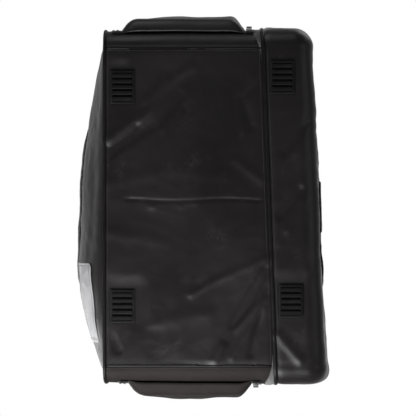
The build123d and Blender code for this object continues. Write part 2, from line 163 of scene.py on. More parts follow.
@dataclass(frozen=True)
class BagForm:
    """The bag's outer shape: a rounded box, pillowed at the front, that slumps."""

    half_length: float
    base_z: float
    top_z: float
    front_seam: float
    front_edge: float
    front_swell: float
    back_seam: float
    back_wall: float
    still: tuple[tuple[Vector, Vector, float], ...]
    corner: float = 42 * MM
    swell_peak: float = -0.125
    crease_x: float = 16 * MM

    @classmethod
    def from_frame(cls) -> "BagForm":
        """Reads the form's sizes off the frame's nodes."""
        front_low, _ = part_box("front_panel")
        seam_low, seam_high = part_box("piping_front")
        back_low, back_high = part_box("piping_back")
        shell_low, shell_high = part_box("back_panel")
        feet = [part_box(f"foot_{row}_{end}") for row in ROWS for end in ENDS]
        still = [(low, high, HOLD_FEET) for low, high in feet]
        for end, side in ENDS.items():
            low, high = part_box(f"pocket_slider_{end}")
            still.append((low, high + Vector((0, 0, 0.165)), HOLD_SLIDERS))
            low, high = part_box(f"lid_slider_{end}")
            run = Vector((side * 0.25, 0, 0))
            low, high = (low + run, high) if side < 0 else (low, high + run)
            still.append((low, high, HOLD_SLIDERS))
        lid_low, lid_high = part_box("lid_panel")
        hinge = Vector((0.27, 3 * MM, 4 * MM))
        line = Vector((0, lid_high.y, lid_low.z))
        still.append((line - hinge, line + hinge, HOLD_LID_HINGE))
        for end in ENDS:
            low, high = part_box(f"pocket_flap_{end}")
            fold = Vector((high.x, high.y, low.z + 2 * MM))
            still.append((low, fold, HOLD_POCKET_FOLD))
        for row in ROWS:
            low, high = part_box(f"handle_patches_{row}")
            still.append((low - Vector((0, 0, 14 * MM)), high, HOLD_PATCHES))
        return cls(
            half_length=shell_high.x,
            base_z=shell_low.z,
            top_z=shell_high.z,
            front_seam=(seam_low.y + seam_high.y) / 2,
            front_edge=seam_low.y,
            front_swell=seam_low.y - front_low.y + 3 * MM,
            back_seam=(back_low.y + back_high.y) / 2,
            back_wall=shell_high.y - LEAN * (shell_high.x - 46 * MM),
            still=tuple(still),
        )

    @property
    def mid_z(self) -> float:
        """Height of the middle of the shell."""
        return (self.base_z + self.top_z) / 2

    @property
    def middle(self) -> Vector:
        """Middle of the shell."""
        return Vector((0, (self.front_seam + self.back_wall) / 2, self.mid_z))

    def seam_y(self, x: float) -> float:
        """Place of the back seam at a station along the bag."""
        return self.back_seam - LEAN * x

    def back_y(self, x: float) -> float:
        """Place of the back wall at a station along the bag."""
        return self.back_wall - LEAN * x

    def pillow(self, x: float, z: float) -> float:
        """How far the front panel swells out of its seam at a spot."""
        reach = self.half_length + (self.swell_peak if x < self.swell_peak else -self.swell_peak)
        along = abs(x - self.swell_peak) / (reach + 1e-9)
        across = abs(z - self.mid_z) / (self.top_z - self.mid_z)
        share = max(0.0, 1 - min(1.0, along) ** 1.7)
        return self.front_swell * share * max(0.0, 1 - min(1.0, across) ** 2.0)

    def wrap(self, point: Vector) -> Vector:
        """Rounds the sharp box's edges under a point, on the box or off it."""
        r = self.corner
        core = Vector(
            (
                min(self.half_length - r, max(r - self.half_length, point.x)),
                min(self.back_y(point.x) - r, point.y),
                min(self.top_z - r, max(self.base_z + r, point.z)),
            )
        )
        step = point - core
        if step.length < 1e-9:
            return point.copy()
        return core + step * (max(abs(s) for s in step) / step.length)

    def outward(self, point: Vector) -> Vector:
        """Smooth outward direction at a point of the shell."""
        middle = self.middle
        half = Vector((self.half_length, self.back_wall - middle.y, self.top_z - self.mid_z))
        out = Vector()
        for i in range(3):
            q = (point[i] - middle[i]) / half[i]
            out[i] = math.copysign(min(1.6, abs(q)) ** 9, q) / half[i]
        return out.normalized() if out.length > 1e-9 else Vector((0, 0, -1))

    def held(self, point: Vector) -> float:
        """0 on feet and zip runs, where nothing slumps, rising to 1 away from them."""
        share = 1.0
        for low, high, reach in self.still:
            gap = Vector([max(low[i] - point[i], 0, point[i] - high[i]) for i in range(3)])
            share = min(share, smooth(gap.length / reach))
        return share

    def drift(self, point: Vector) -> float:
        """Slow and fine unevenness of slack fabric, with narrow pinches."""
        x, y, z = point
        broad = noise.noise(point * 5.2 + Vector((7.3, 1.1, 4.0)))
        finer = noise.noise(Vector((x * 15, y * 11, z * 13)) + Vector((2, 9, 5)))
        crumple = abs(noise.noise(Vector((x * 26, y * 19, z * 24))))
        return (5.5 * broad + 2.4 * finer - 2.6 * crumple) * MM

    def relief(self, x: float, y: float) -> float:
        """The base's folds, the crease between its boards and its slow waves."""
        flat = sum(fold.at(x, y) for fold in FOLDS)
        crease_depth, crease_width, crease_bow = 3.0 * MM, 3.6 * MM, 2.5 * MM
        left_bank, right_bank, bank_height = 100 * MM, 60 * MM, 4.2 * MM
        off = x - self.crease_x - crease_bow * math.sin(y * 26)
        across = smooth((y + 0.19) / 0.03) * (1 - smooth((y - 0.13) / 0.03))
        flat -= crease_depth * math.exp(-((off / crease_width) ** 2)) * across
        flat += bank_height * math.exp(-abs(off) / (left_bank if off < 0 else right_bank))
        flat += 1.6 * MM * math.cos(y * 18 + x * 4) * math.sin(x * 13 + 1.0)
        return flat

    def slump(self, point: Vector) -> float:
        """How far the fabric stands out of the plain form at a point."""
        x, y = point.x, point.y
        base_edge, base_roll, seam_width = 6 * MM, 46 * MM, 9 * MM
        on_base = 1 - smooth((point.z - self.base_z - base_edge) / base_roll)
        push = self.drift(point) * (1 - 0.62 * on_base)
        height = 1 - ((point.z - self.mid_z) / (self.top_z - self.mid_z)) ** 2
        end_swell = 18 * MM * smooth((y - self.front_seam) / 0.19) - 7 * MM
        push += end_swell * smooth((abs(x) - 0.36) / 0.05) * max(0.0, height)
        behind = smooth((y - self.back_y(x) + 40 * MM) / (34 * MM))
        push += (6 * MM - 14 * MM * x) * behind * max(0.0, height)
        if on_base > 0:
            push += self.relief(x, y) * on_base
        for seam in (self.front_seam, self.seam_y(x)):
            near = abs(y - seam) / seam_width
            push -= 3.4 * MM * math.exp(-near * near)
        end = abs(abs(x) - (self.half_length - self.corner)) / seam_width
        push -= 1.6 * MM * math.exp(-end * end) * on_base
        if on_base > 0:
            push += 1.6 * MM * on_base  # clear of the boards inside
            room = 6.6 * MM if push > 0 else 1.3 * MM  # feet outside, boards inside
            push = between(push, room * math.tanh(push / room), on_base)
        return push * self.held(point)

    def settle(self, point: Vector) -> Vector:
        """Moves a point of the plain form to where the slumped bag has it."""
        return point + self.outward(point) * self.slump(point)

    def on(self, face: Face, u: float, v: float, lift: float = 0.0) -> Vector:
        """Point on a face of the slumped bag.

        Args:
            face: The side of the bag.
            u: X on base, top, front and back, and Y on the ends.
            v: Y on base and top, and Z elsewhere.
            lift: Height over the fabric.

        Returns:
            The point in the row frame.
        """
        sharp = {
            Face.BASE: lambda: Vector((u, v, self.base_z - lift)),
            Face.TOP: lambda: Vector((u, v, self.top_z + lift)),
            Face.FRONT: lambda: Vector((u, self.front_edge - lift, v)),
            Face.BACK: lambda: Vector((u, self.back_y(u) + lift, v)),
            Face.LEFT: lambda: Vector((-self.half_length - lift, u, v)),
            Face.RIGHT: lambda: Vector((self.half_length + lift, u, v)),
        }[face]()
        point = self.wrap(sharp)
        if face is Face.FRONT:
            point.y -= self.pillow(point.x, point.z)
        return self.settle(point)


class Nodes:
    """A node tree with short ways to add and join nodes."""

    def __init__(self, tree: bpy.types.NodeTree) -> None:
        """Starts on an empty tree."""
        self.tree = tree
        tree.nodes.clear()

    def add(self, kind: str, **values: object) -> bpy.types.Node:
        """Adds a node and sets its properties, or its inputs by name.

        Args:
            kind: The node's type, without its ShaderNode prefix.
            values: Properties of the node, or inputs with spaces as underscores.

        Returns:
            The node.
        """
        node = self.tree.nodes.new(kind if kind.startswith("Node") else f"ShaderNode{kind}")
        for name, value in values.items():
            if hasattr(node, name):
                setattr(node, name, value)
            else:
                node.inputs[name.replace("_", " ")].default_value = value
        return node

    def join(self, start: bpy.types.NodeSocket, end: bpy.types.NodeSocket) -> None:
        """Links one socket to another."""
        self.tree.links.new(start, end)

    def math(self, operation: str, first: object, second: object) -> bpy.types.NodeSocket:
        """A Math node on two sockets or numbers; returns its output."""
        node = self.add("Math", operation=operation)
        for i, value in enumerate((first, second)):
            if isinstance(value, bpy.types.NodeSocket):
                self.join(value, node.inputs[i])
            else:
                node.inputs[i].default_value = value
        return node.outputs[0]

    def ramp(self, value: bpy.types.NodeSocket, low: float, high: float) -> bpy.types.NodeSocket:
        """Spreads a value's range low to high over 0 to 1."""
        node = self.add("MapRange", From_Min=low, From_Max=high)
        self.join(value, node.inputs["Value"])
        return node.outputs[0]


def new_group(
    name: str, outputs: Iterable[str]
) -> tuple[Nodes, bpy.types.NodeSocket, bpy.types.Node]:
    """Starts a shader node group on a vector and a scale.

    Args:
        name: The group's name.
        outputs: Names of its float outputs.

    Returns:
        The group's nodes, its scaled vector and its output node.
    """
    tree = bpy.data.node_groups.new(name, "ShaderNodeTree")
    tree.interface.new_socket("Vector", in_out="INPUT", socket_type="NodeSocketVector")
    scale = tree.interface.new_socket("Scale", in_out="INPUT", socket_type="NodeSocketFloat")
    scale.default_value = 1.0
    for output in outputs:
        tree.interface.new_socket(output, in_out="OUTPUT", socket_type="NodeSocketFloat")
    nodes = Nodes(tree)
    start = nodes.add("NodeGroupInput")
    stretched = nodes.add("VectorMath", operation="SCALE")
    nodes.join(start.outputs["Vector"], stretched.inputs[0])
    nodes.join(start.outputs["Scale"], stretched.inputs["Scale"])
    return nodes, stretched.outputs[0], nodes.add("NodeGroupOutput")


def grain_group() -> bpy.types.NodeTree:
    """Pebbled skin of coated fabric, as a height, with a slow change of tone."""
    nodes, vector, end = new_group("coated grain", ("Height", "Tone"))
    cells = nodes.add("TexVoronoi", feature="DISTANCE_TO_EDGE", Scale=1.0)
    fine = nodes.add("TexNoise", Scale=3.1, Detail=4.0, Roughness=0.6)
    slow = nodes.add("TexNoise", Scale=0.006, Detail=5.0, Roughness=0.55)
    for node in (cells, fine, slow):
        nodes.join(vector, node.inputs["Vector"])
    pebble = nodes.math("POWER", nodes.ramp(cells.outputs["Distance"], 0.0, 0.35), 0.6)
    height = nodes.math("ADD", pebble, nodes.math("MULTIPLY", fine.outputs["Fac"], 0.35))
    nodes.join(height, end.inputs["Height"])
    nodes.join(nodes.ramp(slow.outputs["Fac"], 0.32, 0.68), end.inputs["Tone"])
    return nodes.tree


def weave_group() -> bpy.types.NodeTree:
    """Crossing yarns, as a height, with a slow change of tone."""
    nodes, vector, end = new_group("woven yarn", ("Height", "Tone"))
    warp = nodes.add("TexWave", wave_type="BANDS", bands_direction="X", Scale=0.32, Distortion=0.3)
    weft = nodes.add("TexWave", wave_type="BANDS", bands_direction="Z", Scale=0.26, Distortion=0.3)
    slow = nodes.add("TexNoise", Scale=0.03, Detail=4.0)
    for node in (warp, weft, slow):
        nodes.join(vector, node.inputs["Vector"])
    crossing = nodes.math("MULTIPLY", warp.outputs["Fac"], weft.outputs["Fac"])
    nodes.join(nodes.math("ADD", crossing, warp.outputs["Fac"]), end.inputs["Height"])
    nodes.join(nodes.ramp(slow.outputs["Fac"], 0.3, 0.7), end.inputs["Tone"])
    return nodes.tree


def scuff_group() -> bpy.types.NodeTree:
    """Sparse rubs and dust, as a mask."""
    nodes, vector, end = new_group("scuffs", ("Mask",))
    patches = nodes.add("TexNoise", Scale=0.02, Detail=6.0, Roughness=0.7)
    hairs = nodes.add("TexNoise", Scale=0.25, Detail=3.0, Distortion=1.5)
    for node in (patches, hairs):
        nodes.join(vector, node.inputs["Vector"])
    worn = nodes.ramp(patches.outputs["Fac"], 0.55, 0.78)
    thin = nodes.ramp(hairs.outputs["Fac"], 0.4, 0.7)
    nodes.join(nodes.math("MULTIPLY", worn, thin), end.inputs["Mask"])
    return nodes.tree


class Surface(Enum):
    """The relief a finish has."""

    GRAIN = "coated grain"
    WEAVE = "woven yarn"


@dataclass(frozen=True)
class Finish:
    """A procedural material: colour, gloss, relief and wear."""

    name: str
    colour: tuple[float, float, float]
    worn: tuple[float, float, float]
    roughness: float
    surface: Surface = Surface.GRAIN
    scale: float = 700.0
    relief: float = 0.3
    depth: float = 0.25 * MM
    specular: float = 0.2
    metallic: float = 0.0
    sheen: float = 0.0

    def build(self) -> bpy.types.Material:
        """Makes the material, or gives the one already made."""
        name = f"finish_{self.name}"
        made = bpy.data.materials.get(name)
        if made:
            return made
        material = bpy.data.materials.new(name)
        material.use_nodes = True
        nodes = Nodes(material.node_tree)
        shader = nodes.add(
            "BsdfPrincipled", Metallic=self.metallic, Specular_IOR_Level=self.specular,
            Sheen_Weight=self.sheen,
        )
        nodes.join(shader.outputs[0], nodes.add("OutputMaterial").inputs["Surface"])
        place = nodes.add("TexCoord")
        relief = self.group(nodes, self.surface.value, place)
        scuffs = self.group(nodes, "scuffs", place)
        tone = nodes.add("Mix", data_type="RGBA")
        tone.inputs[6].default_value = (*self.colour, 1)
        tone.inputs[7].default_value = (*[1.7 * c for c in self.colour], 1)
        nodes.join(relief.outputs["Tone"], tone.inputs[0])
        rubbed = nodes.add("Mix", data_type="RGBA")
        rubbed.inputs[7].default_value = (*self.worn, 1)
        nodes.join(scuffs.outputs["Mask"], rubbed.inputs[0])
        nodes.join(tone.outputs[2], rubbed.inputs[6])
        nodes.join(rubbed.outputs[2], shader.inputs["Base Color"])
        spread = nodes.math("MULTIPLY", relief.outputs["Tone"], 0.14)
        rough = nodes.math("ADD", spread, self.roughness - 0.07)
        rough = nodes.math("ADD", rough, nodes.math("MULTIPLY", scuffs.outputs["Mask"], 0.18))
        nodes.join(rough, shader.inputs["Roughness"])
        bump = nodes.add("Bump", Strength=self.relief, Distance=self.depth)
        nodes.join(relief.outputs["Height"], bump.inputs["Height"])
        nodes.join(bump.outputs[0], shader.inputs["Normal"])
        return material

    def group(self, nodes: Nodes, name: str, place: bpy.types.Node) -> bpy.types.Node:
        """Places a shared group on object coordinates at this finish's scale."""
        tree = bpy.data.node_groups.get(name)
        if tree is None:
            makers = {"coated grain": grain_group, "woven yarn": weave_group}
            tree = makers.get(name, scuff_group)()
        node = nodes.add("Group", node_tree=tree)
        node.inputs["Scale"].default_value = self.scale
        nodes.join(place.outputs["Object"], node.inputs["Vector"])
        return node


COATED = Finish(
    "coated_fabric", (0.0014, 0.0012, 0.0012), (0.007, 0.0062, 0.006), 0.37, specular=0.055
)
BRUSHED = Finish(
    "brushed_fabric", (0.0024, 0.0019, 0.0018), (0.008, 0.0068, 0.0064), 0.62, scale=1300,
    relief=0.5, specular=0.03,
)
BINDING = Finish(
    "welt_fabric", (0.0008, 0.0007, 0.0007), (0.006, 0.0056, 0.0054), 0.4, scale=900, specular=0.04
)
LINING = Finish(
    "lining_fabric", (0.03, 0.03, 0.032), (0.05, 0.05, 0.05), 0.8, Surface.WEAVE, 900, sheen=0.2
)
WEBBING = Finish(
    "webbing_yarn", (0.0035, 0.0034, 0.0034), (0.014, 0.014, 0.014), 0.62, Surface.WEAVE, 1500, 0.8,
    0.5 * MM, sheen=0.15,
)
ZIP_TAPE = Finish(
    "zip_tape_weave", (0.012, 0.012, 0.0125), (0.04, 0.04, 0.04), 0.6, Surface.WEAVE, 3200, 0.6,
    0.3 * MM, sheen=0.1,
)
GUSSET = Finish(
    "ribbed_gusset", (0.007, 0.007, 0.0072), (0.03, 0.03, 0.03), 0.55, Surface.WEAVE, 2600, 0.9,
    0.5 * MM, sheen=0.1,
)
THREAD = Finish(
    "thread", (0.008, 0.008, 0.008), (0.02, 0.02, 0.02), 0.5, Surface.WEAVE, 5000, 0.3, 0.1 * MM
)
COIL = Finish("zip_coil", (0.006, 0.006, 0.006), (0.02, 0.02, 0.02), 0.4, scale=1500)
RUBBER = Finish(
    "foot_rubber", (0.0008, 0.0008, 0.0008), (0.006, 0.0057, 0.0056), 0.5, scale=1100, relief=0.2,
    specular=0.03,
)
BOARD = Finish("board_face", (0.09, 0.088, 0.085), (0.16, 0.16, 0.15), 0.6, scale=500)
METAL = Finish(
    "dark_nickel", (0.07, 0.07, 0.072), (0.25, 0.25, 0.25), 0.34, scale=600, relief=0.06,
    metallic=1.0,
)
SILVER = Finish(
    "name_panel_silver", (0.06, 0.06, 0.062), (0.035, 0.035, 0.035), 0.6, scale=1400, relief=0.15,
    specular=0.3,
)


def mapped_grid(bm: bmesh.types.BMesh, across: int, along: int, place: Place) -> None:
    """Adds a grid whose corners run 0 to 1 and are placed by a function.

    Args:
        bm: The mesh that gets the grid.
        across: Cells in the first direction.
        along: Cells in the second direction.
        place: Gives the point for a pair of shares.
    """
    made = bmesh.ops.create_grid(bm, x_segments=across, y_segments=along, size=0.5)
    for vert in made["verts"]:
        vert.co = place(vert.co.x + 0.5, vert.co.y + 0.5)


def between(low: float, high: float, share: float) -> float:
    """The number a share of the way from low to high."""
    return low + (high - low) * share


def rounded(u: float, v: float, low: Spot, high: Spot, corner: float, foot: bool = True) -> Spot:
    """Rounds the corners of a rectangle under a spot of it.

    Args:
        u: First coordinate.
        v: Second coordinate.
        low: The rectangle's lowest corner.
        high: Its highest corner.
        corner: Radius of its corners.
        foot: Whether the two lower corners are rounded too.

    Returns:
        The spot moved in from a square corner to the round one.
    """
    core_u = min(high[0] - corner, max(low[0] + corner, u))
    core_v = min(high[1] - corner, max(low[1] + corner if foot else v, v))
    du, dv = u - core_u, v - core_v
    size = math.hypot(du, dv)
    if size < 1e-9:
        return u, v
    share = max(abs(du), abs(dv)) / size
    return core_u + du * share, core_v + dv * share


def inside(u: float, v: float, low: Spot, high: Spot, corner: float) -> float:
    """Depth of a spot inside a rounded rectangle, negative outside it."""
    du = max(low[0] + corner - u, u - high[0] + corner)
    dv = max(low[1] + corner - v, v - high[1] + corner)
    outer = math.hypot(max(du, 0), max(dv, 0)) + min(max(du, dv), 0)
    return corner - outer


@dataclass
class Track:
    """A line on a face of the bag, which tapes, teeth and stitches follow."""

    form: BagForm
    face: Face
    spots: list[Spot]
    lift: Callable[[float, float], float] = lambda u, v: 0.0

    def march(self, pitch: float) -> list[Step]:
        """Even steps along the line, each a spot and a direction."""
        steps, gone, due = [], 0.0, 0.0
        for (au, av), (bu, bv) in zip(self.spots, self.spots[1:]):
            size = math.hypot(bu - au, bv - av)
            if size < 1e-9:
                continue
            du, dv = (bu - au) / size, (bv - av) / size
            while due <= gone + size:
                steps.append((au + du * (due - gone), av + dv * (due - gone), du, dv))
                due += pitch
            gone += size
        return steps

    def at(self, step: Step, side: float, lift: float) -> Vector:
        """Point beside a step of the line, over the fabric."""
        u, v, du, dv = step
        u, v = u - dv * side, v + du * side
        return self.form.on(self.face, u, v, self.lift(u, v) + lift)

    def ribbon(
        self, bm: bmesh.types.BMesh, low: float, high: float, lift: float, pitch: float = 5 * MM,
        crown: float = 0.0, cells: int = 4,
    ) -> None:
        """Lays a strip along the line.

        Args:
            bm: The mesh that gets the strip.
            low: Place of one edge beside the line.
            high: Place of the other edge.
            lift: Height of the strip over the fabric.
            pitch: Length of its cells.
            crown: How much higher its middle is than its edges.
            cells: Cells across it.
        """
        steps = self.march(pitch)
        last = len(steps) - 1

        def place(along: float, across: float) -> Vector:
            arch = crown * (1 - (2 * across - 1) ** 2)
            step = steps[min(last, round(along * last))]
            return self.at(step, between(low, high, across), lift + arch)

        mapped_grid(bm, last, cells, place)

    def beads(
        self, bm: bmesh.types.BMesh, pitch: float, size: Vector, side: float, lift: float,
        stagger: float = 0.0, lean: float = 0.0,
    ) -> None:
        """Sets small rounded bars along the line, as stitches or coil teeth.

        Args:
            bm: The mesh that gets the bars.
            pitch: Distance from bar to bar.
            size: Half sizes along the line, across it and up.
            side: Place of the row beside the line.
            lift: Height of the bars' middles over the fabric.
            stagger: How far every other bar stands to the other side.
            lean: Turn of the bars, in radians.
        """
        batch, limit = bmesh.new(), 40
        for i, step in enumerate(self.march(pitch)):
            shift = side + (stagger if i % 2 else -stagger)
            here = self.at(step, shift, lift)
            u, v, du, dv = step
            ahead = (self.at((u + du * MM, v + dv * MM, du, dv), shift, lift) - here).normalized()
            beside = (self.at(step, shift + MM, lift) - here).normalized()
            up = ahead.cross(beside).normalized()
            turn = Matrix((ahead, up.cross(ahead), up)).transposed().to_4x4()
            spin = Matrix.Rotation(lean, 4, "Z")
            bmesh.ops.create_uvsphere(
                batch, u_segments=6, v_segments=4, radius=1.0,
                matrix=Matrix.Translation(here) @ turn @ spin @ Matrix.Diagonal((*size, 1)),
            )
            if i % limit == limit - 1:
                pour(batch, bm)
                batch = bmesh.new()
        pour(batch, bm)

    def sew(
        self, bm: bmesh.types.BMesh, lift: float, rows: Sequence[float] = (0.0,),
        pitch: float = STITCH_PITCH, size: Vector = STITCH,
    ) -> None:
        """Sets rows of stitches, each at its own place beside the line."""
        for row in rows:
            self.beads(bm, pitch, size, row, lift)


def pour(source: bmesh.types.BMesh, target: bmesh.types.BMesh) -> None:
    """Adds one mesh to another and frees the first.

    Args:
        source: The mesh that is added.
        target: The mesh that it is added to.
    """
    mesh = bpy.data.meshes.new("poured")
    source.to_mesh(mesh)
    source.free()
    target.from_mesh(mesh)
    bpy.data.meshes.remove(mesh)


def horseshoe(half: float, near: float, far: float, corner: float, middle: float = 0) -> list[Spot]:
    """A line with two legs from far to near, joined across near by round corners."""
    way = 1 if near > far else -1
    spots = [(middle - half, far), (middle - half, near - way * corner)]
    for side in (-1, 1):
        for i in range(1, 13):
            turn = math.pi / 2 * (i / 12 if side < 0 else 1 - i / 12)
            spots.append(
                (
                    middle + side * (half - corner + corner * math.cos(turn)),
                    near - way * corner * (1 - math.sin(turn)),
                )
            )
    spots.append((middle + half, far))
    return spots


def box_line(low: Spot, high: Spot) -> list[Spot]:
    """A closed rectangle as a line."""
    return [low, (high[0], low[1]), high, (low[0], high[1]), low]


class Workshop:
    """Turns meshes into named pieces that ride on the frame."""

    def __init__(self, form: BagForm) -> None:
        """Keeps the form that pieces face away from."""
        self.form = form
        self.middle = form.middle

    def piece(
        self, name: str, bm: bmesh.types.BMesh, finish: Finish, slot: str, body: str | None,
        nodes: Sequence[str] = (), wall: float = 0.0, lining: Finish | None = None,
        closed: bool = False,
    ) -> bpy.types.Object:
        """Makes a piece from a mesh.

        Args:
            name: The piece's name.
            bm: Its mesh, which is freed.
            finish: Its material.
            slot: The record's material slot; not used.
            body: The body it rides on, or None to leave it riding on no body.
            nodes: CAD nodes it stands for.
            wall: Thickness laid inwards on an open sheet.
            lining: Material of the inner side.
            closed: Whether the mesh is made of closed shells.

        Returns:
            The piece.
        """
        bmesh.ops.remove_doubles(bm, verts=bm.verts, dist=0.01 * MM)
        if closed:
            bmesh.ops.recalc_face_normals(bm, faces=bm.faces)
        else:
            self.face_out(bm)
        mesh = bpy.data.meshes.new(name)
        bm.to_mesh(mesh)
        bm.free()
        mesh.polygons.foreach_set("use_smooth", [True] * len(mesh.polygons))
        mesh.materials.append(finish.build())
        obj = bpy.data.objects.new(name, mesh)
        bpy.context.scene.collection.objects.link(obj)
        if wall:
            thick = obj.modifiers.new("wall", "SOLIDIFY")
            thick.thickness, thick.offset, thick.use_even_offset = wall, -1, False
            if lining:
                mesh.materials.append(lining.build())
                thick.material_offset = 1
        if body:
            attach(obj, body)
        if nodes:
            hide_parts(*nodes)
        LOG.info("%s: %d faces", name, len(mesh.polygons))
        return obj

    def threads(self, name: str, bm: bmesh.types.BMesh, body: str = "bag") -> None:
        """Makes a piece of stitches."""
        self.piece(name, bm, THREAD, "webbing", body, closed=True)

    def strip(
        self, name: str, bm: bmesh.types.BMesh, body: str | None, wall: float = 1.0 * MM
    ) -> bpy.types.Object:
        """Makes a hem or fold of coated fabric that stands for no CAD node."""
        return self.piece(name, bm, COATED, "coated_fabric", body, wall=wall)

    def lined(
        self, node: str, bm: bmesh.types.BMesh, body: str, wall: float, finish: Finish = COATED
    ) -> bpy.types.Object:
        """Makes a lined panel in place of a CAD node."""
        return self.piece(
            f"{node}_fabric", bm, finish, "coated_fabric", body, (node,), wall, LINING
        )

    def face_out(self, bm: bmesh.types.BMesh) -> None:
        """Turns an open sheet's faces so that they look away from the bag's middle."""
        bm.normal_update()
        wrong = [f for f in bm.faces if f.normal.dot(f.calc_center_median() - self.middle) < 0]
        bmesh.ops.reverse_faces(bm, faces=wrong)


def slab(
    form: BagForm, face: Face, low: Vector, high: Vector, edge: float, cuts: int = 3
) -> bmesh.types.BMesh:
    """A flat block with eased edges, laid on a face of the bag.

    Args:
        form: The bag's form.
        face: The face that carries it.
        low: Lowest u, v and lift.
        high: Highest u, v and lift.
        edge: Radius of its edges.
        cuts: Cuts of each edge, which let it follow the fabric.

    Returns:
        The block.
    """
    bm = bmesh.new()
    bmesh.ops.create_cube(bm, size=1.0)
    size, middle = high - low, (low + high) / 2
    bmesh.ops.scale(bm, vec=size, verts=bm.verts)
    bmesh.ops.bevel(
        bm, geom=bm.edges[:], offset=edge, affect="EDGES", segments=3, profile=0.5, material=-1
    )
    bmesh.ops.subdivide_edges(bm, edges=bm.edges[:], cuts=cuts, use_grid_fill=True)
    for vert in bm.verts:
        spot = vert.co + middle
        vert.co = form.on(face, spot.x, spot.y, spot.z)
    return bm


